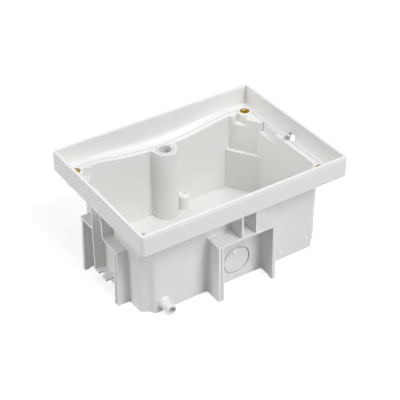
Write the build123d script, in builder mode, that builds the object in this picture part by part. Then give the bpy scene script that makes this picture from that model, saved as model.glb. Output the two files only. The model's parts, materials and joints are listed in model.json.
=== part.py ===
from build123d import *
import os
from math import atan, cos, hypot, pi, sin

# Floor box, in millimetres. The origin is on the base plane, under the middle of the rim.
# X runs along the long side, -Y is the front with the drain spout, +Z is up.

# Rim tray
rim_length = 191.8
rim_width = 138.8
rim_height = 18.8
rim_wall = 2.9
rim_corner_radius = 3.0
rim_bottom_round = 1.2
rim_band_height = 2.2
rim_band_step = 0.3
box_height = 92.4

# Ledge inside the rim, with a slightly lower strip round the cavity
ledge_drop = 16.6
strip_step = 0.6
strip_side = 8.2
strip_back = 9.0
strip_front = 13.8
strip_corner_radius = 2.0

# Dip of the ledge along the back
dip_depth = 7.4
dip_end_gap = 7.3
dip_end_radius = 85.0
dip_sheet = 2.0
dip_steps = 5
dip_wall_step = 0.2
dip_end_step = 0.15

# Tub under the ledge
side_ledge = 12.9
back_ledge = 13.4
front_ledge = 18.8
wall = 2.6
floor_thickness = 2.2
front_cut_x = 7.5
front_cut_y = 7.0
front_knee_x = 5.6
front_knee_y = 3.7
back_cut_x = 14.7
back_cut_y = 21.8

# Conduit entry set in the lower part of each back corner
entry_step = 3.0
entry_height = 42.0

# Round knockouts for conduit
knockout_radius = 11.5
knockout_groove_width = 1.7
knockout_groove_depth = 1.5
knockout_height = 19.3

# Threaded inserts and their bosses
insert_radius = 4.4
insert_length = 9.5
insert_core_radius = 2.1
insert_lead_in = 0.5
insert_side_inset = 12.3
insert_back_inset = 14.8
insert_front_inset = 18.8
boss_radius = 6.6
boss_length = 11.6
boss_floor = 1.6
boss_relief_radius = 2.8

# Pocket beside each back boss
pocket_width = 10.2
pocket_reach = 5.8
pocket_depth = 7.4
pocket_wall = 1.6
pocket_mouth_radius = 3.0
pocket_mouth_reach = 2.4

# Recess at the top of each side wall
recess_front = 9.3
recess_length = 22.2
recess_deep = 4.0
recess_shallow = 2.4
recess_height = 9.0
recess_wall = 1.6

# Screwdriver tube in the middle of each short side, open to the outside through a notch in the rim
driver_inset = 7.3
driver_radius = 3.8
driver_wall = 1.2
driver_length = 7.4
notch_width = 9.8
notch_shift = 1.4
notch_rise = 3.3
notch_round = 2.0

# Drain tube against the back wall
tube_radius = 10.3
tube_foot_radius = 11.2
tube_bore_radius = 5.8
tube_standoff = 4.0
tube_web_neck = 10.0
tube_web_foot = 11.6
tube_drop = 0.2
tube_groove_radius = 7.2
tube_groove_width = 0.8
tube_groove_depth = 0.5

# Small boss on the floor
post_radius = 5.5
post_height = 13.9
post_offset = 17.0
post_standoff = 5.0
post_top_radius = 5.1
post_bevel = 1.3
post_hole_radius = 2.8
post_hole_depth = 1.2

# Drain spout
spout_radius = 4.2
spout_bore_radius = 3.0
spout_length = 11.5
spout_flare = 1.4
spout_height = 7.6
spout_inset = 14.4

# Conduit brackets on the outside, each with one grooved and one plain flange
bracket_setback = 0.9
bracket_half_width = 28.0
plate_thickness = 1.8
rib_thickness = 1.6
root_radius = 1.5
flange_thickness = 2.0
flange_lean = 1.4
groove_width = 1.0
groove_depth = 3.0
hook_thickness = 2.3
plain_inset = 0.9
plain_lip = 1.1
plain_lip_length = 4.5

# Front bracket
front_bracket_height = 53.1
front_rib_spacing = 13.5
front_rib_shift = 1.1

# Left bracket
side_bracket_height = 52.1
side_flange_reach = 29.5
long_rib_offset = 9.0
short_rib_offset = 6.6
jog_drop = 2.4
jog_height = 4.4
jog_bend = 1.5
shelf_bend = 3.6

# Slotted fixing lug
lug_height = 11.9
lug_thickness = 1.6
lug_reach = 9.2
lug_slot_width = 4.4
lug_slot_length = 6.0

# Levels and faces worked out from the sizes above
skirt_z = box_height - rim_height
ledge_z = box_height - ledge_drop
rim_x = rim_length / 2
rim_y = rim_width / 2
tray_x = rim_x - rim_wall
tray_y = rim_y - rim_wall
cavity_x = rim_x - side_ledge
cavity_back = rim_y - back_ledge
cavity_front = front_ledge - rim_y
tub_x = cavity_x + wall
tub_front = cavity_front - wall
strip_x = rim_x - strip_side
strip_y_back = rim_y - strip_back
strip_y_front = strip_front - rim_y
insert_x = rim_x - insert_side_inset
insert_y_back = rim_y - insert_back_inset
insert_y_front = insert_front_inset - rim_y
insert_points = [
    (side * insert_x, y) for side in (-1, 1) for y in (insert_y_front, insert_y_back)
]
driver_x = rim_x - driver_inset
driver_points = [(-driver_x, 0), (driver_x, 0)]
front_depth = front_ledge - wall - bracket_setback
side_depth = side_ledge - wall - bracket_setback
dip_half_length = insert_x - boss_radius - dip_end_gap
tube_z = ledge_z - dip_depth - tube_drop
tube_y = cavity_back - tube_standoff
post_point = (post_offset, cavity_back - post_standoff)
spout_x = spout_inset - cavity_x
pocket_z = ledge_z - pocket_depth
recess_z = ledge_z - recess_height
rib_top = skirt_z + rim_bottom_round
shelf_mid_z = side_bracket_height - plate_thickness / 2
jog_z = skirt_z - jog_drop
short_rib_top = notch_width / 2 - notch_shift + plate_thickness / 2
side_locations = [
    Location((-tub_x, 0, 0), (0, 0, -90)),
    Location((tub_x, 0, 0), (0, 0, 90)),
]

# Frames on the right back corner wall: x along the wall, y or z outward
corner_across = Vector(back_cut_x, -back_cut_y).normalized()
corner_out = Vector(-corner_across.Y, corner_across.X)
corner_start = Vector(cavity_x - back_cut_x, cavity_back)
corner_length = hypot(back_cut_x, back_cut_y)
boss_along = (Vector(insert_x, insert_y_back) - corner_start).dot(corner_across)
pocket_plane = Plane(
    origin=corner_start + corner_across * boss_along,
    x_dir=corner_across,
    z_dir=(0, 0, 1),
)
entry_plane = Plane(
    origin=corner_start
    + corner_across * (corner_length / 2)
    - corner_out * entry_step
    + Vector(0, 0, knockout_height),
    x_dir=corner_across,
    z_dir=corner_out,
)


def cavity_plan(corner_step, grow):
    """Outline of the cavity, its back corners moved in by corner_step, grown outward by grow."""
    cut_x = back_cut_x + corner_step * corner_length / back_cut_y
    cut_y = back_cut_y + corner_step * corner_length / back_cut_x
    right = [
        (cavity_x - front_cut_x, cavity_front),
        (cavity_x - front_knee_x, cavity_front + front_knee_y),
        (cavity_x, cavity_front + front_cut_y),
        (cavity_x, cavity_back - cut_y),
        (cavity_x - cut_x, cavity_back),
    ]
    left = [(-x, y) for x, y in reversed(right)]
    with BuildSketch() as plan:
        with BuildLine():
            Polyline(*right, *left, close=True)
        make_face()
        if grow:
            offset(amount=grow)
    return plan.sketch


def above_dip(depth, lift, top):
    """Upright face from a dipped line of the given depth, moved up by lift, to the level top."""
    bend = 2 * atan(depth / dip_half_length)
    middle_radius = dip_half_length / sin(bend) - dip_end_radius
    turn_x = middle_radius * sin(bend)
    end_z = ledge_z + lift
    low_z = end_z - depth
    turn_z = low_z + middle_radius * (1 - cos(bend))
    with BuildSketch() as face:
        with BuildLine():
            ThreePointArc((-turn_x, turn_z), (0, low_z), (turn_x, turn_z))
            TangentArc((turn_x, turn_z), (dip_half_length, end_z), tangent=(cos(bend), sin(bend)))
            TangentArc((-turn_x, turn_z), (-dip_half_length, end_z), tangent=(-cos(bend), sin(bend)))
            Polyline(
                (dip_half_length, end_z),
                (dip_half_length, top),
                (-dip_half_length, top),
                (-dip_half_length, end_z),
            )
        make_face()
    return face.sketch


def recess_plan(grow):
    """Wedge-shaped plan of the right side recess, grown outward by grow."""
    recess_back = recess_front + recess_length
    with BuildSketch() as plan:
        with BuildLine():
            Polyline(
                (cavity_x - wall / 2, recess_front),
                (cavity_x + recess_shallow, recess_front),
                (cavity_x + recess_deep, recess_back),
                (cavity_x - wall / 2, recess_back),
                close=True,
            )
        make_face()
        if grow:
            offset(amount=grow, kind=Kind.INTERSECTION)
    return plan.sketch


def knockout_ring():
    """Plan of the ring groove round a knockout."""
    with BuildSketch() as ring:
        Circle(knockout_radius + knockout_groove_width)
        Circle(knockout_radius, mode=Mode.SUBTRACT)
    return ring.sketch


def flange_plan(outer, points):
    """Plan of a flange on the +X side of a wall at y = 0 that faces -Y, with rounded roots."""
    inner = outer - flange_thickness
    with BuildSketch() as plan:
        with BuildLine():
            TangentArc((outer + root_radius, 0), (outer, -root_radius), tangent=(-1, 0))
            Polyline((outer, -root_radius), *points, (inner, -root_radius))
            TangentArc((inner, -root_radius), (inner - root_radius, 0), tangent=(0, 1))
            Line((inner - root_radius, 0), (outer + root_radius, 0))
        make_face()
    return plan.sketch


def grooved_flange(outer, depth):
    """Flange whose free edge has a groove between the flange and a hook on its inner side."""
    inner = outer - flange_thickness
    hook_outer = inner - groove_width
    hook_inner = hook_outer - hook_thickness
    groove_end = groove_depth - depth
    hook_end = groove_end + hook_thickness
    points = [
        (outer, -depth),
        (inner, -depth),
        (inner, groove_end),
        (hook_outer, groove_end),
        (hook_outer, -depth),
        (hook_inner, -depth),
        (hook_inner, hook_end),
        (inner, hook_end),
    ]
    return flange_plan(outer, points)


def plain_flange(depth):
    """Flange set in from the end of the plate, with a low lip inside its free edge."""
    outer = bracket_half_width - plain_inset
    inner = outer - flange_thickness
    lip_end = plain_lip_length - depth
    points = [
        (outer, -depth),
        (inner - plain_lip, -depth),
        (inner - plain_lip, lip_end),
        (inner, lip_end),
    ]
    return flange_plan(outer, points)


def lean_wedge(depth, height):
    """Upright triangle that trims flanges of the given depth plus the lean to a leaning edge."""
    with BuildSketch(Plane.YZ) as wedge:
        with BuildLine():
            Polyline(
                (-depth - flange_lean, 0),
                (-depth, height),
                (-depth - flange_lean, height),
                close=True,
            )
        make_face()
    return wedge.sketch


# Rim tray, still solid
with BuildPart() as rim_block:
    with BuildSketch(Plane.XY.offset(skirt_z)):
        RectangleRounded(rim_length, rim_width, rim_corner_radius)
    extrude(amount=rim_height - rim_band_height)
    fillet(rim_block.faces().sort_by(Axis.Z)[0].edges(), radius=rim_bottom_round)
    with BuildSketch(Plane.XY.offset(box_height - rim_band_height)):
        RectangleRounded(
            rim_length - 2 * rim_band_step,
            rim_width - 2 * rim_band_step,
            rim_corner_radius - rim_band_step,
        )
    extrude(amount=rim_band_height)

# Hollow over the dip, curved up from the strip to the rim wall
with BuildPart() as dip_hollow:
    for step in range(dip_steps):
        angle = pi / 2 * step / (dip_steps - 1)
        dip_y = strip_y_back + (tray_y - strip_y_back) * sin(angle)
        with BuildSketch(Plane.XZ.offset(-dip_y)):
            add(above_dip(max(dip_depth * cos(angle), dip_wall_step), -dip_end_step, box_height))
    loft()

# Front bracket, drawn against a wall at y = 0 that faces -Y
with BuildPart() as front_bracket:
    with BuildSketch():
        add(grooved_flange(bracket_half_width, front_depth + flange_lean))
        mirror(about=Plane.YZ, mode=Mode.REPLACE)
        add(plain_flange(front_depth + flange_lean))
    extrude(amount=front_bracket_height)
    extrude(lean_wedge(front_depth, front_bracket_height), amount=rim_x, both=True, mode=Mode.SUBTRACT)
    with BuildSketch(Plane.XZ):
        with Locations((0, front_bracket_height)):
            Rectangle(2 * bracket_half_width, plate_thickness, align=(Align.CENTER, Align.MAX))
        with Locations((front_rib_shift, front_bracket_height)):
            with GridLocations(front_rib_spacing, 0, 2, 1):
                Rectangle(rib_thickness, rib_top - front_bracket_height, align=(Align.CENTER, Align.MIN))
    extrude(amount=front_depth)
    with BuildSketch(Plane.YZ):
        with BuildLine():
            TangentArc(
                (0, front_bracket_height + root_radius),
                (-root_radius, front_bracket_height),
                tangent=(0, -1),
            )
            Polyline(
                (-root_radius, front_bracket_height),
                (0, front_bracket_height),
                (0, front_bracket_height + root_radius),
            )
        make_face()
    extrude(amount=bracket_half_width, both=True)

# Left bracket, drawn against the same kind of wall
with BuildPart() as side_bracket:
    with BuildSketch():
        add(plain_flange(side_depth + flange_lean))
        mirror(about=Plane.YZ, mode=Mode.REPLACE)
        add(grooved_flange(side_flange_reach, side_depth + flange_lean))
    extrude(amount=side_bracket_height)
    extrude(lean_wedge(side_depth, side_bracket_height), amount=rim_x, both=True, mode=Mode.SUBTRACT)
    with BuildSketch(Plane.XZ):
        with BuildLine():
            FilletPolyline(
                (short_rib_top, rib_top),
                (short_rib_top, jog_z),
                (short_rib_offset, jog_z - jog_height),
                (short_rib_offset, shelf_mid_z),
                (side_flange_reach, shelf_mid_z),
                radius=[jog_bend, jog_bend, shelf_bend],
            )
        trace(line_width=plate_thickness)
    extrude(amount=side_depth)
    with BuildSketch(Plane.XZ):
        with Locations((-long_rib_offset, side_bracket_height)):
            Rectangle(
                bracket_half_width - long_rib_offset,
                plate_thickness,
                align=(Align.MAX, Align.MAX),
            )
    extrude(amount=side_depth)

# Slotted lug hung from the rim by a long rib, drawn against the same kind of wall
with BuildPart() as side_lug:
    with BuildSketch(Plane.XZ):
        with Locations((-long_rib_offset, lug_height - lug_thickness)):
            Rectangle(
                rib_thickness,
                rib_top - lug_height + lug_thickness,
                align=(Align.CENTER, Align.MIN),
            )
    extrude(amount=side_depth)
    with BuildSketch(Plane.XY.offset(lug_height)):
        with Locations((-long_rib_offset, 0)):
            Rectangle(long_rib_offset + lug_reach, side_depth, align=(Align.MIN, Align.MAX))
        with Locations((0, -side_depth)):
            SlotOverall(2 * lug_slot_length, lug_slot_width, rotation=90, mode=Mode.SUBTRACT)
    extrude(amount=-lug_thickness)

# Notch through the rim beside the screwdriver tube, drawn against the same kind of wall
with BuildPart() as side_notch:
    with BuildSketch(Plane.XZ.offset(driver_x - tub_x)) as notch_face:
        with Locations((-notch_shift, ledge_z - driver_length)):
            Rectangle(notch_width, driver_length + notch_rise, align=(Align.CENTER, Align.MIN))
        fillet(notch_face.vertices().group_by(Axis.Y)[-1], radius=notch_round)
    extrude(amount=driver_inset + rim_wall)

# Pocket in front of the right back boss: its housing outside the corner wall, and the hollow
# with a rounded mouth
with BuildPart() as pocket_housing:
    with BuildSketch(pocket_plane.offset(pocket_z - pocket_wall)):
        Rectangle(
            pocket_width + 2 * pocket_wall,
            pocket_reach + pocket_wall,
            align=(Align.CENTER, Align.MIN),
        )
    extrude(amount=skirt_z - pocket_z + pocket_wall)
with BuildPart() as pocket_hollow:
    mouth_x = pocket_width / 2 + pocket_mouth_radius
    mouth_y = pocket_mouth_reach - pocket_mouth_radius
    with BuildSketch(pocket_plane.offset(pocket_z)):
        with BuildLine():
            TangentArc((pocket_width / 2, pocket_mouth_reach), (mouth_x, mouth_y), tangent=(0, -1))
            Polyline(
                (mouth_x, mouth_y),
                (mouth_x, -wall),
                (0, -wall),
                (0, pocket_reach),
                (pocket_width / 2, pocket_reach),
                (pocket_width / 2, pocket_mouth_reach),
            )
        make_face()
        mirror(about=Plane.YZ)
    extrude(amount=pocket_depth)

# Recess at the top of the right side wall: the bulge that holds it, and the hollow
with BuildPart() as recess_bulge:
    with BuildSketch(Plane.XY.offset(recess_z - recess_wall)):
        add(recess_plan(recess_wall))
    extrude(amount=skirt_z - recess_z + recess_wall)
with BuildPart() as recess_hollow:
    with BuildSketch(Plane.XY.offset(recess_z)):
        add(recess_plan(0))
    extrude(amount=recess_height)

# Ring groove of the knockout outside the right back corner
with BuildPart() as corner_knockout:
    with BuildSketch(entry_plane.offset(wall)):
        add(knockout_ring())
    extrude(amount=-knockout_groove_depth)

# Drain spout, drawn outward from a wall at y = 0 with a flared root
with BuildPart() as spout:
    with BuildSketch(Plane.YZ):
        with BuildLine():
            Polyline(
                (0, spout_radius + spout_flare),
                (0, 0),
                (-spout_length, 0),
                (-spout_length, spout_radius),
                (-spout_flare, spout_radius),
                close=True,
            )
        make_face()
    revolve(axis=Axis.Y)

# Small boss for the floor, drawn on a base at z = 0
with BuildPart() as floor_post:
    with BuildSketch(Plane.XZ):
        with BuildLine():
            Polyline(
                (0, 0),
                (post_radius, 0),
                (post_top_radius, post_height - post_bevel),
                (post_top_radius - post_bevel, post_height),
                (0, post_height),
                close=True,
            )
        make_face()
    revolve(axis=Axis.Z)
    with Locations((0, 0, post_height)):
        Hole(post_hole_radius, post_hole_depth)

# Box body: one moulding
with BuildPart() as box_body:
    # Tub, with the back corners cut deeper in the lower part
    with BuildSketch():
        add(cavity_plan(entry_step, wall))
    extrude(amount=entry_height)
    with BuildSketch(Plane.XY.offset(entry_height - wall)):
        add(cavity_plan(0, wall))
    extrude(amount=skirt_z - entry_height + wall)

    # Rim tray, the sheet under the dipped ledge and the housings outside the tub
    add(rim_block.part)
    with BuildSketch(Plane.XZ.offset(rim_bottom_round - rim_y)):
        add(above_dip(dip_depth, -dip_sheet, ledge_z))
    extrude(amount=back_ledge - rim_bottom_round)
    for housing in (pocket_housing.part, recess_bulge.part):
        add(housing)
        mirror(housing, about=Plane.YZ)

    # Hollow of the tray, the dip along the back, then the lower strip of the ledge
    with BuildSketch(Plane.XY.offset(ledge_z)):
        Rectangle(2 * tray_x, 2 * tray_y)
    extrude(amount=ledge_drop, mode=Mode.SUBTRACT)
    add(dip_hollow.part, mode=Mode.SUBTRACT)
    with BuildSketch(Plane.XZ.offset(-strip_y_back)):
        add(above_dip(dip_depth, -strip_step, box_height))
    extrude(amount=strip_y_back - cavity_back + wall, mode=Mode.SUBTRACT)
    with BuildSketch(Plane.XY.offset(ledge_z)):
        with Locations((0, (strip_y_back + strip_y_front) / 2)):
            RectangleRounded(2 * strip_x, strip_y_back - strip_y_front, strip_corner_radius)
    extrude(amount=-strip_step, mode=Mode.SUBTRACT)

    # Cavity, pockets, recesses and the corner knockouts
    with BuildSketch(Plane.XY.offset(floor_thickness)):
        add(cavity_plan(entry_step, 0))
    extrude(amount=entry_height - floor_thickness, mode=Mode.SUBTRACT)
    with BuildSketch(Plane.XY.offset(entry_height)):
        add(cavity_plan(0, 0))
    extrude(amount=box_height - entry_height, mode=Mode.SUBTRACT)
    for hollow in (pocket_hollow.part, recess_hollow.part, corner_knockout.part):
        add(hollow, mode=Mode.SUBTRACT)
        mirror(hollow, about=Plane.YZ, mode=Mode.SUBTRACT)

    # Bosses for the inserts, with a relief bore under each insert
    with BuildSketch(Plane.XY.offset(ledge_z)):
        with Locations(*insert_points):
            Circle(boss_radius)
    extrude(amount=-boss_length)
    with Locations(*[(x, y, ledge_z) for x, y in insert_points]):
        CounterBoreHole(boss_relief_radius, insert_radius, insert_length, boss_length - boss_floor)

    # Conduit brackets and the knockout between the front flanges
    with Locations((0, tub_front, 0)):
        add(front_bracket.part)
    with Locations(side_locations[0]):
        add(side_bracket.part)
    with Locations(*side_locations):
        add(side_lug.part)
    with BuildSketch(Plane.XZ.offset(-tub_front)):
        with Locations((0, knockout_height)):
            add(knockout_ring())
    extrude(amount=-knockout_groove_depth, mode=Mode.SUBTRACT)

    # Screwdriver tubes, open to the outside
    with BuildSketch(Plane.XY.offset(ledge_z)):
        with Locations(*driver_points):
            Circle(driver_radius + driver_wall)
    extrude(amount=-driver_length)
    with Locations(*[(x, y, ledge_z) for x, y in driver_points]):
        Hole(driver_radius, driver_length)
    with Locations(*side_locations):
        add(side_notch.part, mode=Mode.SUBTRACT)

    # Drain tube with a web to the back wall
    with Locations((0, tube_y, 0)):
        Cone(tube_foot_radius, tube_radius, tube_z, align=(Align.CENTER, Align.CENTER, Align.MIN))
    with BuildSketch():
        with BuildLine():
            Polyline(
                (-tube_web_neck, tube_y),
                (tube_web_neck, tube_y),
                (tube_web_foot, cavity_back),
                (tube_web_foot, cavity_back + wall / 2),
                (-tube_web_foot, cavity_back + wall / 2),
                (-tube_web_foot, cavity_back),
                close=True,
            )
        make_face()
    extrude(amount=tube_z)
    with BuildSketch(Plane.XY.offset(tube_z)):
        with Locations((0, tube_y)):
            Circle(tube_groove_radius + tube_groove_width)
            Circle(tube_groove_radius, mode=Mode.SUBTRACT)
    extrude(amount=-tube_groove_depth, mode=Mode.SUBTRACT)
    with Locations((0, tube_y, tube_z)):
        Hole(tube_bore_radius, tube_z)

    # Small boss on the floor
    with Locations((*post_point, floor_thickness)):
        add(floor_post.part)

    # Drain spout through the front wall
    with Locations((spout_x, tub_front, spout_height)):
        add(spout.part)
    with BuildSketch(Plane.XZ.offset(-cavity_front)):
        with Locations((spout_x, spout_height)):
            Circle(spout_bore_radius)
    extrude(amount=spout_length + wall, mode=Mode.SUBTRACT)

# Threaded inserts, a group of four
with BuildPart() as corner_inserts:
    with BuildSketch(Plane.XY.offset(ledge_z)):
        with Locations(*insert_points):
            Circle(insert_radius)
            Circle(insert_core_radius, mode=Mode.SUBTRACT)
    extrude(amount=-insert_length)
    rims = corner_inserts.edges().filter_by(GeomType.CIRCLE).group_by(Axis.Z)[-1]
    chamfer(rims.group_by(SortBy.RADIUS)[0], length=insert_lead_in)

box_body.part.label = "box_body"
corner_inserts.part.label = "corner_inserts"
os.makedirs("parts", exist_ok=True)
export_step(box_body.part, "parts/box_body.step")
export_step(corner_inserts.part, "parts/corner_inserts.step")
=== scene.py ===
"""Looks of a moulded floor box: its finishes, small moulding details, studio and camera."""

import json
import logging
import math
from collections.abc import Iterable
from dataclasses import dataclass
from enum import Enum

import bmesh
import bpy
from mathutils import Matrix, Vector


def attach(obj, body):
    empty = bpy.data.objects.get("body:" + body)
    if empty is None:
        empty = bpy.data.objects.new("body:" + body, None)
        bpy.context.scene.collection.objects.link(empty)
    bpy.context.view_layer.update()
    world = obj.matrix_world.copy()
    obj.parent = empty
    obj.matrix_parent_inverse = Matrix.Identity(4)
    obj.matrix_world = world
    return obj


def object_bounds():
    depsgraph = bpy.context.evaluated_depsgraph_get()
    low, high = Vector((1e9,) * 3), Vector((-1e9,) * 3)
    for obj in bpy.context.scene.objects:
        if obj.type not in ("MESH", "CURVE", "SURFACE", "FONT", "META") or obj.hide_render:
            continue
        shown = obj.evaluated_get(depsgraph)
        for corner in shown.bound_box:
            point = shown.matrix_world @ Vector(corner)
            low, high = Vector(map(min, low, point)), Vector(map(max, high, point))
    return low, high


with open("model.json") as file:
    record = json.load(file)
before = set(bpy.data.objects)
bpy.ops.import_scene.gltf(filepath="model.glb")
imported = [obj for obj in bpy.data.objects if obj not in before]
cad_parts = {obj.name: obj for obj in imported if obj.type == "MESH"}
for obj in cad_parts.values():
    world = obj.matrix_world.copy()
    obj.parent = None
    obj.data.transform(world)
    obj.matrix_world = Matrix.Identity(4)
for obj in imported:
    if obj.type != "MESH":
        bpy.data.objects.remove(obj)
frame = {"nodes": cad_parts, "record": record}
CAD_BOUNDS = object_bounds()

LOG = logging.getLogger("floor_box")
MM = 0.001
BODY = "root"
DOME_STEPS = 4
BOTH_SIDES = (Matrix.Identity(4), Matrix.Rotation(math.pi, 4, "Z"))
# Numbers of the mix node's colour sockets, whose names other sockets of the node have too
MIX_FIRST = 6
MIX_SECOND = 7
MIX_RESULT = 2

Pair = tuple[float, float]
Triple = tuple[float, float, float]
Box = tuple[Triple, Triple]


class Slot(Enum):
    """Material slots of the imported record, which are also the names of the CAD nodes."""

    BOX = "box_body"
    INSERTS = "corner_inserts"


class Wall(Enum):
    """Faces of the moulding that carry small marks, as the way each face looks."""

    FLOOR = (0.0, 0.0, 1.0)
    FRONT = (0.0, -1.0, 0.0)


class Corner(Enum):
    """Kinds of corner that show on the plastic, as whether walls are felt for inside it."""

    EDGE = True
    CREASE = False


def linear(hex_colour: str) -> tuple[float, float, float, float]:
    """Turns an sRGB hex colour into linear light, by the sRGB curve.

    Args:
        hex_colour: Six hex digits after a hash sign.

    Returns:
        Linear red, green, blue and an alpha of one.
    """
    shares = [int(hex_colour[i : i + 2], 16) / 255 for i in (1, 3, 5)]
    light = [c / 12.92 if c <= 0.04045 else ((c + 0.055) / 1.055) ** 2.4 for c in shares]
    return (*light, 1.0)


def add_node(
    tree: bpy.types.NodeTree,
    kind: str,
    settings: dict[str | int, object] | None = None,
    links: dict[str | int, bpy.types.NodeSocket] | None = None,
) -> bpy.types.Node:
    """Adds one shader node with its settings and links.

    Args:
        tree: Node tree that gets the node.
        kind: Blender's name of the node type.
        settings: Values by input name or number, or by the node's own property name.
        links: Output sockets by input name or number.

    Returns:
        The new node.
    """
    node = tree.nodes.new(kind)
    for name, value in (settings or {}).items():
        if isinstance(name, int) or name in node.inputs:
            node.inputs[name].default_value = value
        else:
            setattr(node, name, value)
    for name, socket in (links or {}).items():
        tree.links.new(socket, node.inputs[name])
    return node


def empty_material(name: str) -> bpy.types.Material:
    """Makes a material with an empty node tree.

    Args:
        name: Name of the material.

    Returns:
        The new material.
    """
    material = bpy.data.materials.new(name)
    material.use_nodes = True
    material.node_tree.nodes.clear()
    return material


def frequency(size_mm: float) -> float:
    """Scale of a texture whose cells are size_mm across, in object coordinates of metres."""
    return 1 / (size_mm * MM)


def seen_directly(tree: bpy.types.NodeTree) -> bpy.types.NodeSocket:
    """Adds nodes that tell rays which show the background from rays which light the object.

    Args:
        tree: Node tree that gets the nodes.

    Returns:
        A socket that is one for camera, glossy and transmission rays.
    """
    path = add_node(tree, "ShaderNodeLightPath").outputs
    shown = path["Is Camera Ray"]
    for other in ("Is Glossy Ray", "Is Transmission Ray"):
        shown = add_node(
            tree, "ShaderNodeMath", {"operation": "MAXIMUM"}, {0: shown, 1: path[other]}
        ).outputs[0]
    return shown


def mesh_object(name: str, builder: bmesh.types.BMesh) -> bpy.types.Object:
    """Turns a bmesh into an object of the scene and frees the bmesh.

    Args:
        name: Name of the piece.
        builder: Finished bmesh, in metres in the part's frame.

    Returns:
        The new object.
    """
    bmesh.ops.recalc_face_normals(builder, faces=builder.faces)
    mesh = bpy.data.meshes.new(name)
    builder.to_mesh(mesh)
    builder.free()
    piece = bpy.data.objects.new(name, mesh)
    bpy.context.scene.collection.objects.link(piece)
    return piece


def seat(
    name: str, builder: bmesh.types.BMesh, material: bpy.types.Material
) -> bpy.types.Object:
    """Makes a piece from a bmesh, gives it its finish and lets it ride with the part.

    Args:
        name: Name of the piece.
        builder: Finished bmesh, in metres in the part's frame.
        material: Finish of the piece.

    Returns:
        The new piece.
    """
    piece = mesh_object(name, builder)
    piece.data.materials.append(material)
    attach(piece, BODY)
    LOG.info("built %s", name)
    return piece


def facing(wall: Wall, place: Triple) -> Matrix:
    """Frame on a face: z along its normal, y as near to upright as it can be.

    Args:
        wall: The face.
        place: Origin of the frame, in millimetres.

    Returns:
        A matrix from the frame on the face to the part's frame.
    """
    turn = Vector(wall.value).to_track_quat("Z", "Y")
    return Matrix.Translation(Vector(place) * MM) @ turn.to_matrix().to_4x4()


def add_revolved(
    builder: bmesh.types.BMesh, profile: Iterable[Pair], place: Matrix, steps: int
) -> None:
    """Adds a profile turned about the z axis of a frame.

    Args:
        builder: Bmesh that gets the faces.
        profile: Radius and height of each point in millimetres; a radius of zero closes the end.
        place: Frame of the turned form.
        steps: Points in one turn.
    """
    rings = []
    for radius, height in profile:
        if radius == 0:
            rings.append([builder.verts.new(place @ Vector((0, 0, height * MM)))])
            continue
        ring = []
        for step in range(steps):
            angle = 2 * math.pi * step / steps
            point = Vector((math.cos(angle) * radius, math.sin(angle) * radius, height))
            ring.append(builder.verts.new(place @ (point * MM)))
        rings.append(ring)
    for lower, upper in zip(rings, rings[1:]):
        for step in range(steps):
            after = (step + 1) % steps
            corners = [lower[step % len(lower)], lower[after % len(lower)]]
            corners += [upper[after % len(upper)], upper[step % len(upper)]]
            builder.faces.new(dict.fromkeys(corners))


def add_prism(
    builder: bmesh.types.BMesh,
    outline: tuple[Pair, ...],
    start: float,
    end: float,
    place: Matrix,
) -> None:
    """Adds a prism that runs along the y axis of a frame.

    Args:
        builder: Bmesh that gets the faces.
        outline: Points of the section as x and z in millimetres.
        start: Place of the first end.
        end: Place of the other end.
        place: Frame of the prism.
    """
    ends = [
        [builder.verts.new(place @ (Vector((x, y, z)) * MM)) for x, z in outline]
        for y in (start, end)
    ]
    for cap in ends:
        builder.faces.new(cap)
    add_skin(builder, ends)


def add_skin(builder: bmesh.types.BMesh, rings: list[list[bmesh.types.BMVert]]) -> None:
    """Adds the faces between closed rings that have as many points each.

    Args:
        builder: Bmesh that gets the faces.
        rings: Points of each ring, in order along the form.
    """
    for ring, following in zip(rings, rings[1:]):
        for i, point in enumerate(ring):
            after = (i + 1) % len(ring)
            builder.faces.new((point, ring[after], following[after], following[i]))


def dome(radius: float, height: float) -> list[Pair]:
    """Outline of a dome, from its foot to its top.

    Args:
        radius: Radius of the foot.
        height: Height of the top.

    Returns:
        Radius and height of each point.
    """
    angles = [math.pi / 2 * step / DOME_STEPS for step in range(DOME_STEPS)]
    outline = [(radius * math.cos(angle), height * math.sin(angle)) for angle in angles]
    return [*outline, (0, height)]


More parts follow.
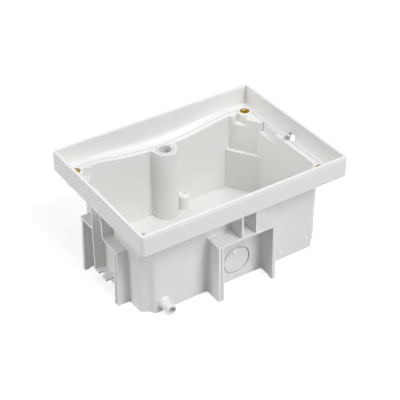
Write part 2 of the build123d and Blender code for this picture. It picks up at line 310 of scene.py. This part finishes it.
@dataclass(frozen=True)
class MouldedPolypropylene:
    """Pale grey polypropylene from a satin steel mould.

    The eye gets a soft, waxy sheen, edges that the mould leaves rounded, a painted highlight on
    the edges and the rim top, painted shade along fine steps, and a colour that wanders slightly
    between cool and warm grey.
    """

    colour: str = "#EDEDEC"
    warm_colour: str = "#EEEEE9"
    # Colour of the painted highlight on the edges and the top of the rim
    edge_highlight_colour: str = "#FAFAF9"
    # Colour of the painted shade in fine creases
    crease_shade_colour: str = "#C2C2BE"
    ior: float = 1.49
    roughness_low: float = 0.27
    roughness_high: float = 0.36
    cloud_mm: float = 22.0
    cloud_detail: float = 3.0
    sheen_mm: float = 5.0
    grain_mm: float = 0.8
    fine_detail: float = 2.0
    grain_depth_mm: float = 0.02
    grain_strength: float = 0.12
    round_mm: float = 0.5
    samples: int = 6
    # How far walls are felt for at a corner, and how open a full corner and a flat face are
    edge_mm: float = 1.15
    edge_range: Pair = (0.5, 0.92)
    crease_mm: float = 0.7
    crease_range: Pair = (0.5, 0.95)
    # Heights between which the top of the rim gets a painted highlight
    rim_highlight_mm: Pair = (91.5, 92.2)
    # Middle and half size of each box whose creases get painted shade
    ledge_mm: Box = ((0.0, 0.0, 75.5), (92.0, 65.5, 1.5))
    dip_mm: Box = ((0.0, 54.0, 71.5), (76.0, 11.5, 5.5))
    knockout_mm: Box = ((0.0, -53.2, 19.3), (14.5, 2.0, 14.5))
    gates_mm: Box = ((58.3, -53.2, 8.6), (17.0, 2.0, 6.0))

    def material(self) -> bpy.types.Material:
        """Builds the node material.

        Returns:
            The material of the moulding.
        """
        material = empty_material("moulded_polypropylene")
        tree = material.node_tree
        place = add_node(tree, "ShaderNodeTexCoord").outputs["Object"]
        sheen = add_node(
            tree,
            "ShaderNodeTexNoise",
            {"Scale": frequency(self.sheen_mm), "Detail": self.fine_detail},
            {"Vector": place},
        )
        roughness = add_node(
            tree,
            "ShaderNodeMapRange",
            {"To Min": self.roughness_low, "To Max": self.roughness_high},
            {"Value": sheen.outputs[0]},
        )
        shader = add_node(
            tree,
            "ShaderNodeBsdfPrincipled",
            {"IOR": self.ior},
            {
                "Base Color": self.tint(tree, place),
                "Roughness": roughness.outputs[0],
                "Normal": self.relief(tree, place),
            },
        )
        add_node(tree, "ShaderNodeOutputMaterial", links={"Surface": shader.outputs[0]})
        return material

    def tint(
        self, tree: bpy.types.NodeTree, place: bpy.types.NodeSocket
    ) -> bpy.types.NodeSocket:
        """Adds nodes for the colour: the clouded plastic, its painted edge highlight and painted
        crease shade.

        Args:
            tree: Node tree that gets the nodes.
            place: Object coordinates.

        Returns:
            The colour's socket.
        """
        clouds = add_node(
            tree,
            "ShaderNodeTexNoise",
            {"Scale": frequency(self.cloud_mm), "Detail": self.cloud_detail},
            {"Vector": place},
        )
        colour = add_node(
            tree,
            "ShaderNodeMix",
            {
                "data_type": "RGBA",
                MIX_FIRST: linear(self.colour),
                MIX_SECOND: linear(self.warm_colour),
            },
            {0: clouds.outputs[0]},
        ).outputs[MIX_RESULT]
        # Painted highlight on the edges and rim top, then painted shade in the creases
        painted_light_layers = (
            (self.painted_highlight(tree, place), self.edge_highlight_colour),
            (self.painted_crease_shade(tree, place), self.crease_shade_colour),
        )
        for share, painted_colour in painted_light_layers:
            colour = add_node(
                tree,
                "ShaderNodeMix",
                {"data_type": "RGBA", MIX_SECOND: linear(painted_colour)},
                {0: share, MIX_FIRST: colour},
            ).outputs[MIX_RESULT]
        return colour

    def painted_highlight(
        self, tree: bpy.types.NodeTree, place: bpy.types.NodeSocket
    ) -> bpy.types.NodeSocket:
        """Adds nodes that find the edges and the top of the rim, where a highlight is painted.

        Args:
            tree: Node tree that gets the nodes.
            place: Object coordinates.

        Returns:
            A socket that is one where the painted highlight is strongest.
        """
        # Painted highlight: paler at the edges and on the top of the rim
        low_mm, high_mm = self.rim_highlight_mm
        level = add_node(tree, "ShaderNodeSeparateXYZ", links={0: place})
        rim_top_highlight = add_node(
            tree,
            "ShaderNodeMapRange",
            {"From Min": low_mm * MM, "From Max": high_mm * MM},
            {"Value": level.outputs["Z"]},
        )
        return add_node(
            tree,
            "ShaderNodeMath",
            {"operation": "MAXIMUM"},
            {0: self.corners(tree, Corner.EDGE), 1: rim_top_highlight.outputs[0]},
        ).outputs[0]

    def painted_crease_shade(
        self, tree: bpy.types.NodeTree, place: bpy.types.NodeSocket
    ) -> bpy.types.NodeSocket:
        """Adds nodes that find the painted shade in creases on the ledge and in the marks on the
        front wall.

        Args:
            tree: Node tree that gets the nodes.
            place: Object coordinates.

        Returns:
            A socket that is one where the painted shade is darkest.
        """
        # Painted shade: creases darken, but only inside these boxes
        shade_region = self.in_box(tree, place, self.ledge_mm)
        for box in (self.dip_mm, self.knockout_mm, self.gates_mm):
            shade_region = add_node(
                tree,
                "ShaderNodeMath",
                {"operation": "MAXIMUM"},
                {0: shade_region, 1: self.in_box(tree, place, box)},
            ).outputs[0]
        return add_node(
            tree,
            "ShaderNodeMath",
            {"operation": "MULTIPLY"},
            {0: self.corners(tree, Corner.CREASE), 1: shade_region},
        ).outputs[0]

    def corners(self, tree: bpy.types.NodeTree, corner: Corner) -> bpy.types.NodeSocket:
        """Adds nodes that find the corners of the moulding.

        Args:
            tree: Node tree that gets the nodes.
            corner: Kind of corner.

        Returns:
            A socket that goes from zero on a flat face to one at a corner.
        """
        if corner is Corner.EDGE:
            reach_mm, (full, flat) = self.edge_mm, self.edge_range
        else:
            reach_mm, (full, flat) = self.crease_mm, self.crease_range
        openness = add_node(
            tree,
            "ShaderNodeAmbientOcclusion",
            {"inside": corner.value, "samples": self.samples, "Distance": reach_mm * MM},
        )
        return add_node(
            tree,
            "ShaderNodeMapRange",
            {"From Min": flat, "From Max": full},
            {"Value": openness.outputs["AO"]},
        ).outputs[0]

    def in_box(
        self, tree: bpy.types.NodeTree, place: bpy.types.NodeSocket, box_mm: Box
    ) -> bpy.types.NodeSocket:
        """Adds nodes that find the part of the moulding that lies in a box.

        Args:
            tree: Node tree that gets the nodes.
            place: Object coordinates.
            box_mm: Middle and half size of the box.

        Returns:
            A socket that is one in the box and zero outside it.
        """
        middle, half = ([size * MM for size in sizes] for sizes in box_mm)
        offset = place
        steps = (
            {"operation": "SUBTRACT", 1: middle},
            {"operation": "ABSOLUTE"},
            {"operation": "SUBTRACT", 1: half},
        )
        for step in steps:
            offset = add_node(tree, "ShaderNodeVectorMath", step, {0: offset}).outputs[0]
        parts = add_node(tree, "ShaderNodeSeparateXYZ", links={0: offset}).outputs
        furthest = parts[0]
        for part in parts[1:]:
            furthest = add_node(
                tree, "ShaderNodeMath", {"operation": "MAXIMUM"}, {0: furthest, 1: part}
            ).outputs[0]
        return add_node(
            tree, "ShaderNodeMath", {"operation": "LESS_THAN", 1: 0.0}, {0: furthest}
        ).outputs[0]

    def relief(
        self, tree: bpy.types.NodeTree, place: bpy.types.NodeSocket
    ) -> bpy.types.NodeSocket:
        """Adds nodes for the rounded edges and the satin grain.

        Args:
            tree: Node tree that gets the nodes.
            place: Object coordinates.

        Returns:
            The normal's socket.
        """
        # The real texture is about 0.05 mm: it is drawn coarser, so that a render can show it
        grain = add_node(
            tree,
            "ShaderNodeTexNoise",
            {"Scale": frequency(self.grain_mm), "Detail": self.fine_detail},
            {"Vector": place},
        )
        rounding = add_node(
            tree, "ShaderNodeBevel", {"samples": self.samples, "Radius": self.round_mm * MM}
        )
        return add_node(
            tree,
            "ShaderNodeBump",
            {"Strength": self.grain_strength, "Distance": self.grain_depth_mm * MM},
            {"Height": grain.outputs[0], "Normal": rounding.outputs[0]},
        ).outputs[0]


@dataclass(frozen=True)
class TurnedBrass:
    """Free-cutting brass straight from the lathe.

    The eye gets a warm yellow mirror that is broken into fine rings by the tool, with a browner
    film in places.
    """

    insert_x_mm: float
    insert_y_mm: float
    insert_mid_y_mm: float
    top_mm: float
    colour: str = "#D6B44E"
    film_colour: str = "#A67E2C"
    # Painted shade down in the hole, and the depth over which it deepens
    shade_colour: str = "#6A4C1C"
    shade_mm: float = 2.0
    metallic: float = 1.0
    roughness_low: float = 0.24
    roughness_high: float = 0.40
    ring_mm: float = 0.35
    ring_depth_mm: float = 0.02
    ring_strength: float = 0.25
    film_mm: float = 1.8
    film_detail: float = 3.0

    def material(self) -> bpy.types.Material:
        """Builds the node material.

        Returns:
            The material of the inserts.
        """
        material = empty_material("turned_brass")
        tree = material.node_tree
        place = add_node(tree, "ShaderNodeTexCoord").outputs["Object"]
        film = add_node(
            tree,
            "ShaderNodeTexNoise",
            {"Scale": frequency(self.film_mm), "Detail": self.film_detail},
            {"Vector": place},
        ).outputs[0]
        roughness = add_node(
            tree,
            "ShaderNodeMapRange",
            {"To Min": self.roughness_low, "To Max": self.roughness_high},
            {"Value": film},
        )
        bump = add_node(
            tree,
            "ShaderNodeBump",
            {"Strength": self.ring_strength, "Distance": self.ring_depth_mm * MM},
            {"Height": self.tool_rings(tree, place)},
        )
        shader = add_node(
            tree,
            "ShaderNodeBsdfPrincipled",
            {"Metallic": self.metallic},
            {
                "Base Color": self.tint(tree, place, film),
                "Roughness": roughness.outputs[0],
                "Normal": bump.outputs[0],
            },
        )
        add_node(tree, "ShaderNodeOutputMaterial", links={"Surface": shader.outputs[0]})
        return material

    def tint(
        self,
        tree: bpy.types.NodeTree,
        place: bpy.types.NodeSocket,
        film: bpy.types.NodeSocket,
    ) -> bpy.types.NodeSocket:
        """Adds nodes for the colour: brass, its browner film and the painted shade down in the
        hole.

        Args:
            tree: Node tree that gets the nodes.
            place: Object coordinates.
            film: How thick the film is.

        Returns:
            The colour's socket.
        """
        colour = add_node(
            tree,
            "ShaderNodeMix",
            {
                "data_type": "RGBA",
                MIX_FIRST: linear(self.colour),
                MIX_SECOND: linear(self.film_colour),
            },
            {0: film},
        ).outputs[MIX_RESULT]
        # Painted shade: the hole is browner and darker with its depth
        level = add_node(tree, "ShaderNodeSeparateXYZ", links={0: place})
        depth = add_node(
            tree,
            "ShaderNodeMapRange",
            {"From Min": self.top_mm * MM, "From Max": (self.top_mm - self.shade_mm) * MM},
            {"Value": level.outputs["Z"]},
        )
        return add_node(
            tree,
            "ShaderNodeMix",
            {"data_type": "RGBA", MIX_SECOND: linear(self.shade_colour)},
            {0: depth.outputs[0], MIX_FIRST: colour},
        ).outputs[MIX_RESULT]

    def tool_rings(
        self, tree: bpy.types.NodeTree, place: bpy.types.NodeSocket
    ) -> bpy.types.NodeSocket:
        """Adds nodes for the rings that the tool leaves round the axis of each insert.

        Args:
            tree: Node tree that gets the nodes.
            place: Object coordinates.

        Returns:
            The height of the rings, from zero to one.
        """
        # All four inserts are folded onto one, and the level distance is taken from its axis
        middle = (0.0, self.insert_mid_y_mm * MM, 0.0)
        axis = (self.insert_x_mm * MM, self.insert_y_mm * MM, 0.0)
        level = (1.0, 1.0, 0.0)
        steps = (
            {"operation": "SUBTRACT", 1: middle},
            {"operation": "ABSOLUTE"},
            {"operation": "SUBTRACT", 1: axis},
            {"operation": "MULTIPLY", 1: level},
        )
        around = place
        for step in steps:
            around = add_node(tree, "ShaderNodeVectorMath", step, {0: around}).outputs[0]
        radius = add_node(tree, "ShaderNodeVectorMath", {"operation": "LENGTH"}, {0: around})
        # Real tool marks are about 0.1 mm apart: they are drawn coarser, so that they show
        rings = add_node(
            tree,
            "ShaderNodeMath",
            {"operation": "PINGPONG", 1: self.ring_mm * MM / 2},
            {0: radius.outputs["Value"]},
        )
        return add_node(
            tree,
            "ShaderNodeMath",
            {"operation": "MULTIPLY", 1: 2 * frequency(self.ring_mm)},
            {0: rings.outputs[0]},
        ).outputs[0]


@dataclass(frozen=True)
class SeamlessPaper:
    """Pale studio paper: matt, with the soft shadow of what stands on it."""

    colour: str = "#C0C0C0"
    roughness: float = 0.9
    lift: float = 0.7

    def material(self) -> bpy.types.Material:
        """Builds the node material; the lift brings the paper to white in the picture alone.

        Returns:
            The material of the floor.
        """
        material = empty_material("seamless_paper")
        tree = material.node_tree
        matt = add_node(
            tree,
            "ShaderNodeBsdfDiffuse",
            {"Color": linear(self.colour), "Roughness": self.roughness},
        )
        glow = add_node(
            tree,
            "ShaderNodeMath",
            {"operation": "MULTIPLY", 1: self.lift},
            {0: seen_directly(tree)},
        )
        lift = add_node(tree, "ShaderNodeEmission", links={"Strength": glow.outputs[0]})
        both = add_node(
            tree, "ShaderNodeAddShader", links={0: matt.outputs[0], 1: lift.outputs[0]}
        )
        add_node(tree, "ShaderNodeOutputMaterial", links={"Surface": both.outputs[0]})
        return material


@dataclass
class BoxMoulding:
    """The box itself, the ejector marks on its floor and the bed of one flange's groove.

    Sizes in millimetres.
    """

    finish: MouldedPolypropylene
    floor_z: float = 2.2
    ring_centres: tuple[Pair, ...] = ((-55.0, -30.0), (55.0, -30.0), (-56.9, 49.0), (56.9, 49.0))
    ring_radius: float = 3.2
    ring_band: float = 0.3
    ring_height: float = 0.03
    ring_steps: int = 48
    bed_x: Pair = (-26.05, -24.95)
    # Distance to the front and height of each point
    bed_outline: tuple[Pair, ...] = ((66.8, 0.1), (69.2, 0.1), (67.85, 51.4), (66.8, 51.4))

    def dress(self, node: bpy.types.Object) -> bpy.types.Material:
        """Gives the CAD moulding its finish.

        Args:
            node: Object of the CAD node.

        Returns:
            The material, for the small pieces to share.
        """
        material = self.finish.material()
        node.material_slots[0].material = material
        LOG.info("dressed %s", node.name)
        return material

    def build_ring_marks(self, material: bpy.types.Material) -> bpy.types.Object:
        """Builds the faint rings that the ejector pins of the mould leave on the floor.

        Args:
            material: Finish of the moulding.

        Returns:
            The new piece.
        """
        builder = bmesh.new()
        half = self.ring_band / 2
        profile = (
            (self.ring_radius - half, -self.ring_height),
            (self.ring_radius - half / 2, self.ring_height),
            (self.ring_radius + half / 2, self.ring_height),
            (self.ring_radius + half, -self.ring_height),
        )
        for x, y in self.ring_centres:
            place = facing(Wall.FLOOR, (x, y, self.floor_z))
            add_revolved(builder, profile, place, self.ring_steps)
        return seat("ring_marks", builder, material)

    def build_groove_bed(self, material: bpy.types.Material) -> bpy.types.Object:
        """Builds the bed of the groove in the free edge of the front left flange.

        Args:
            material: Finish of the moulding.

        Returns:
            The new piece.
        """
        builder = bmesh.new()
        forward = Matrix.Rotation(-math.pi / 2, 4, "Z")
        add_prism(builder, self.bed_outline, *self.bed_x, forward)
        return seat("groove_bed", builder, material)


@dataclass
class FrontWall:
    """Small marks on the outside of the front wall. Sizes in millimetres."""

    wall_y: float = -53.2
    knockout_z: float = 19.3
    pip_radius: float = 1.0
    pip_height: float = 0.4
    tab_reach: float = 9.6
    tab_half_length: float = 1.9
    tab_angle_deg: float = 103.0
    # Distance from the tab's middle, away from the pip, and height over the wall
    tab_section: tuple[Pair, ...] = (
        (-1.7, -0.1),
        (1.2, -0.1),
        (1.2, 0.1),
        (-0.5, 1.0),
        (-0.8, 0.9),
    )
    gate_centres: tuple[Pair, ...] = ((71.7, 10.8), (44.8, 6.4))
    # Radius and height over the wall
    gate_profile: tuple[Pair, ...] = (
        (1.8, 0.0),
        (1.5, 0.35),
        (1.3, 0.35),
        (1.0, 0.03),
        (0.0, 0.03),
    )
    steps: int = 48

    def on_wall(self, x: float, z: float) -> Matrix:
        """Frame on the wall at x and z, from that frame to the part's frame."""
        return facing(Wall.FRONT, (x, self.wall_y, z))

    def build_knockout_marks(self, material: bpy.types.Material) -> bpy.types.Object:
        """Builds the centre pip and the pry tab of the knockout.

        Args:
            material: Finish of the moulding.

        Returns:
            The new piece.
        """
        builder = bmesh.new()
        place = self.on_wall(0, self.knockout_z)
        add_revolved(builder, dome(self.pip_radius, self.pip_height), place, self.steps)
        turn = Matrix.Rotation(math.radians(self.tab_angle_deg), 4, "Z")
        shift = Matrix.Translation((self.tab_reach * MM, 0, 0))
        half = self.tab_half_length
        add_prism(builder, self.tab_section, -half, half, place @ turn @ shift)
        return seat("knockout_marks", builder, material)

    def build_gate_marks(self, material: bpy.types.Material) -> bpy.types.Object:
        """Builds the small craters that the gates of the mould leave.

        Args:
            material: Finish of the moulding.

        Returns:
            The new piece.
        """
        builder = bmesh.new()
        for x, z in self.gate_centres:
            add_revolved(builder, self.gate_profile, self.on_wall(x, z), self.steps)
        return seat("gate_marks", builder, material)


@dataclass
class ScrewdriverNotches:
    """The notches in the short sides of the rim. Sizes in millimetres, on the right side."""

    tray_x: float = 93.0
    rim_x: float = 95.9
    skirt_z: float = 73.6
    notch_y: Pair = (-6.3, 3.5)
    notch_top_z: float = 79.1
    bite: float = 0.1
    skin: float = 0.02
    arch_y: Pair = (-4.7, 3.5)
    arch_top_z: float = 76.2
    arch_round: float = 2.0
    bead_radius: float = 0.55
    bead_steps: int = 10
    rib_low: Triple = (91.0, 1.2, 68.4)
    rib_high: Triple = (93.0, 3.6, 75.7)
    rib_bevel: float = 0.6

    def build_ribs(self, material: bpy.types.Material) -> bpy.types.Object:
        """Builds the rib that closes each screwdriver tube at the end of its notch.

        Args:
            material: Finish of the moulding.

        Returns:
            The new piece.
        """
        builder = bmesh.new()
        low_x, start, low_z = self.rib_low
        high_x, end, high_z = self.rib_high
        outline = (
            (low_x, low_z),
            (high_x, low_z),
            (high_x, high_z),
            (low_x + self.rib_bevel, high_z),
            (low_x, high_z - self.rib_bevel),
        )
        for side in BOTH_SIDES:
            add_prism(builder, outline, start, end, side)
        return seat("driver_ribs", builder, material)

    def build_arches(self, material: bpy.types.Material) -> bpy.types.Object:
        """Builds the arch of each notch: its sloped lintel, one jamb and a bead.

        Args:
            material: Finish of the moulding.

        Returns:
            The new piece.
        """
        builder = bmesh.new()
        start, end = self.notch_y[0] - self.bite, self.notch_y[1] + self.bite
        top = self.notch_top_z + self.bite
        face = self.rim_x - self.bite / 2
        # A thin skin apart, so that no two faces lie in one plane
        inner, outer = self.tray_x + self.skin, face - self.skin
        lintel = ((inner, top), (outer, top), (outer, self.arch_top_z))
        jamb = ((inner, self.skirt_z), (face, self.skirt_z), (face, top), (inner, top))
        for side in BOTH_SIDES:
            add_prism(builder, lintel, start, end, side)
            add_prism(builder, jamb, start, self.arch_y[0], side)
            self.add_bead(builder, side)
        return seat("notch_arches", builder, material)

    def arch_path(self) -> list[Vector]:
        """Works out the line of the arch on the outside of the rim.

        Returns:
            Points up one jamb, round both bends and down the other jamb.
        """
        spring = self.arch_top_z - self.arch_round
        bends = (
            (self.arch_y[0] + self.arch_round, math.pi),
            (self.arch_y[1] - self.arch_round, math.pi / 2),
        )
        path = [Vector((self.rim_x, self.arch_y[0], self.skirt_z))]
        for middle, first in bends:
            for step in range(self.bead_steps + 1):
                angle = first - math.pi / 2 * step / self.bead_steps
                offset = Vector((0, math.cos(angle), math.sin(angle))) * self.arch_round
                path.append(Vector((self.rim_x, middle, spring)) + offset)
        return [*path, Vector((self.rim_x, self.arch_y[1], self.skirt_z))]

    def add_bead(self, builder: bmesh.types.BMesh, side: Matrix) -> None:
        """Adds the round bead that follows the arch.

        Args:
            builder: Bmesh that gets the faces.
            side: Matrix that puts the bead on its side of the box.
        """
        path = self.arch_path()
        outward = Vector((1, 0, 0))
        rings = []
        for i, point in enumerate(path):
            along = path[min(i + 1, len(path) - 1)] - path[max(i - 1, 0)]
            aside = along.normalized().cross(outward)
            ring = []
            for step in range(self.bead_steps):
                angle = 2 * math.pi * step / self.bead_steps
                offset = outward * math.cos(angle) + aside * math.sin(angle)
                ring.append(builder.verts.new(side @ ((point + offset * self.bead_radius) * MM)))
            rings.append(ring)
        add_skin(builder, rings)
        builder.faces.new(rings[0])
        builder.faces.new(rings[-1])


@dataclass
class LidInserts:
    """The brass inserts that take the lid's screws, and the plastic collars round them.

    Sizes in millimetres.
    """

    finish: TurnedBrass
    centres: list[Pair]
    top_z: float
    core_radius: float
    length: float = 9.5
    lead_in: float = 0.5
    pitch: float = 0.8
    ridge: float = 0.28
    flank_share: float = 0.45
    thread_steps: int = 40
    collar_inner: float = 4.5
    collar_outer: float = 5.8
    collar_height: float = 0.35
    collar_bevel: float = 0.25
    collar_steps: int = 48

    @classmethod
    def from_record(cls, record: dict) -> "LidInserts":
        """Works out the inserts from the mount of the lid's screws.

        Args:
            record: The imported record.

        Returns:
            The inserts, not built yet.
        """
        mount = next(mount for mount in record["mounts"] if mount["name"] == "lid_screws")
        middle = Vector(mount["pos_m"]) / MM
        half_x = mount["dims"]["spacing_x_mm"] / 2
        half_y = mount["dims"]["spacing_y_mm"] / 2
        return cls(
            finish=TurnedBrass(half_x, half_y, middle.y, middle.z),
            centres=[(x, middle.y + y) for x in (-half_x, half_x) for y in (-half_y, half_y)],
            top_z=middle.z,
            core_radius=mount["dims"]["hole_r_mm"],
        )

    def dress(self, node: bpy.types.Object) -> bpy.types.Material:
        """Gives the CAD inserts their finish.

        Args:
            node: Object of the CAD node.

        Returns:
            The material, for the threads to share.
        """
        material = self.finish.material()
        node.material_slots[0].material = material
        LOG.info("dressed %s", node.name)
        return material

    def build_collars(self, material: bpy.types.Material) -> bpy.types.Object:
        """Builds the low plastic collar that the mould leaves round each insert.

        Args:
            material: Finish of the moulding.

        Returns:
            The new piece.
        """
        builder = bmesh.new()
        profile = (
            (self.collar_inner, -self.collar_height),
            (self.collar_inner, self.collar_height),
            (self.collar_outer - self.collar_bevel, self.collar_height),
            (self.collar_outer, self.collar_height - self.collar_bevel),
            (self.collar_outer, -self.collar_height),
        )
        for x, y in self.centres:
            place = facing(Wall.FLOOR, (x, y, self.top_z))
            add_revolved(builder, profile, place, self.collar_steps)
        return seat("insert_collars", builder, material)

    def build_threads(self, material: bpy.types.Material) -> bpy.types.Object:
        """Builds the thread ridge inside each insert.

        Args:
            material: Finish of the inserts.

        Returns:
            The new piece.
        """
        builder = bmesh.new()
        top = self.top_z - self.lead_in - self.pitch
        bottom = self.top_z - self.length
        turns = math.floor((top - bottom) / self.pitch)
        for x, y in self.centres:
            self.add_ridge(builder, Vector((x, y, top)), turns)
        return seat("insert_threads", builder, material)

    def add_ridge(self, builder: bmesh.types.BMesh, start: Vector, turns: int) -> None:
        """Adds one helical ridge that stands inward from the core hole.

        Args:
            builder: Bmesh that gets the faces.
            start: Top of the thread on the insert's axis, in millimetres.
            turns: Whole turns of the thread.
        """
        flank = self.pitch * self.flank_share
        section = (
            (self.core_radius, flank),
            (self.core_radius - self.ridge, 0.0),
            (self.core_radius, -flank),
        )
        rings = []
        for step in range(turns * self.thread_steps + 1):
            angle = 2 * math.pi * step / self.thread_steps
            drop = self.pitch * step / self.thread_steps
            ring = []
            for radius, height in section:
                x, y = math.cos(angle) * radius, math.sin(angle) * radius
                offset = Vector((x, y, height - drop))
                ring.append(builder.verts.new((start + offset) * MM))
            rings.append(ring)
        add_skin(builder, rings)
        builder.faces.new(rings[0])
        builder.faces.new(rings[-1])


def direction(azimuth: float, elevation: float) -> Vector:
    """Unit vector towards a place round the object.

    Args:
        azimuth: Degrees from the front, positive to the right.
        elevation: Degrees above the floor.

    Returns:
        The unit vector.
    """
    around, up = math.radians(azimuth), math.radians(elevation)
    return Vector(
        (math.sin(around) * math.cos(up), -math.cos(around) * math.cos(up), math.sin(up))
    )


@dataclass(frozen=True)
class SoftLamp:
    """Upright soft lamp. Sizes in metres, angles in degrees.

    The share is the brightness, from 0 to 1, of a white face that looks straight at the lamp.
    """

    name: str
    azimuth: float
    elevation: float
    share: float
    distance: float = 2.0
    width: float = 0.9
    height: float = 0.9
    colour: str = "#FCFCFF"

    def hang(self, aim: Vector) -> None:
        """Hangs the lamp so that it looks at a point.

        Args:
            aim: The point.
        """
        lamp = bpy.data.lights.new(self.name, "AREA")
        lamp.shape = "RECTANGLE"
        lamp.size = self.width
        lamp.size_y = self.height
        lamp.color = linear(self.colour)[:3]
        lamp.energy = self.share * (math.pi * self.distance) ** 2
        towards = direction(self.azimuth, self.elevation)
        stand = bpy.data.objects.new(self.name, lamp)
        stand.location = aim + towards * self.distance
        stand.rotation_mode = "QUATERNION"
        stand.rotation_quaternion = towards.to_track_quat("Z", "Y")
        bpy.context.scene.collection.objects.link(stand)
        LOG.info("hung %s", self.name)


@dataclass
class Studio:
    """Paper, soft lamps and a white surround. Sizes in metres."""

    paper: SeamlessPaper
    paper_size: float = 8.0
    paper_drop: float = 0.0002
    surround_colour: str = "#FFFFFF"
    lamps: tuple[SoftLamp, ...] = (
        SoftLamp("top_lamp", azimuth=-90.0, elevation=84.0, share=0.30, width=1.1, height=1.1),
        SoftLamp("front_lamp", azimuth=12.0, elevation=48.0, share=0.57, height=1.2),
        SoftLamp("right_lamp", azimuth=35.0, elevation=50.0, share=0.11),
        SoftLamp("low_lamp", azimuth=24.0, elevation=12.0, share=0.21),
        SoftLamp("left_lamp", azimuth=-100.0, elevation=22.0, share=0.44),
    )

    def build(self) -> None:
        """Builds the floor, the surround and the lamps."""
        self.lay_paper()
        self.light_surround()
        middle = sum(CAD_BOUNDS, Vector()) / 2
        for lamp in self.lamps:
            lamp.hang(middle)

    def lay_paper(self) -> None:
        """Lays the floor under the object."""
        builder = bmesh.new()
        bmesh.ops.create_grid(builder, x_segments=1, y_segments=1, size=self.paper_size / 2)
        paper = mesh_object("paper_floor", builder)
        paper.location.z = CAD_BOUNDS[0].z - self.paper_drop
        paper.data.materials.append(self.paper.material())
        LOG.info("laid %s", paper.name)

    def light_surround(self) -> None:
        """Shows white behind the object and in its reflections; the lamps alone light it."""
        world = bpy.data.worlds.new("white_surround")
        world.use_nodes = True
        tree = world.node_tree
        tree.nodes.clear()
        light = add_node(
            tree,
            "ShaderNodeBackground",
            {"Color": linear(self.surround_colour)},
            {"Strength": seen_directly(tree)},
        )
        add_node(tree, "ShaderNodeOutputWorld", links={"Surface": light.outputs[0]})
        bpy.context.scene.world = world


@dataclass
class PhotoCamera:
    """Camera at the photograph's viewing angle.

    Place, lens and sensor in millimetres, angles in degrees.
    """

    place: Triple = (-413.88, -621.37, 585.04)
    azimuth: float = -33.703
    elevation: float = 35.7985
    lens: float = 101.13
    sensor: float = 36.0

    def build(self) -> None:
        """Makes the camera and sets it as the scene's camera."""
        back = direction(self.azimuth, self.elevation)
        data = bpy.data.cameras.new("photo_camera")
        data.lens = self.lens
        data.sensor_width = self.sensor
        camera = bpy.data.objects.new("photo_camera", data)
        camera.location = Vector(self.place) * MM
        camera.rotation_mode = "QUATERNION"
        camera.rotation_quaternion = (-back).to_track_quat("-Z", "Y")
        bpy.context.scene.collection.objects.link(camera)
        bpy.context.scene.camera = camera
        LOG.info("set up %s", camera.name)


def main() -> None:
    """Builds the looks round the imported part."""
    logging.basicConfig(level=logging.INFO)
    bpy.context.scene.view_settings.view_transform = "Standard"
    nodes = frame["nodes"]
    moulding = BoxMoulding(MouldedPolypropylene())
    plastic = moulding.dress(nodes[Slot.BOX.value])
    front_wall = FrontWall()
    front_wall.build_knockout_marks(plastic)
    front_wall.build_gate_marks(plastic)
    moulding.build_ring_marks(plastic)
    notches = ScrewdriverNotches()
    notches.build_ribs(plastic)
    moulding.build_groove_bed(plastic)
    notches.build_arches(plastic)
    inserts = LidInserts.from_record(frame["record"])
    inserts.build_collars(plastic)
    brass = inserts.dress(nodes[Slot.INSERTS.value])
    inserts.build_threads(brass)
    Studio(SeamlessPaper()).build()
    PhotoCamera().build()


if __name__ == "__main__":
    main()
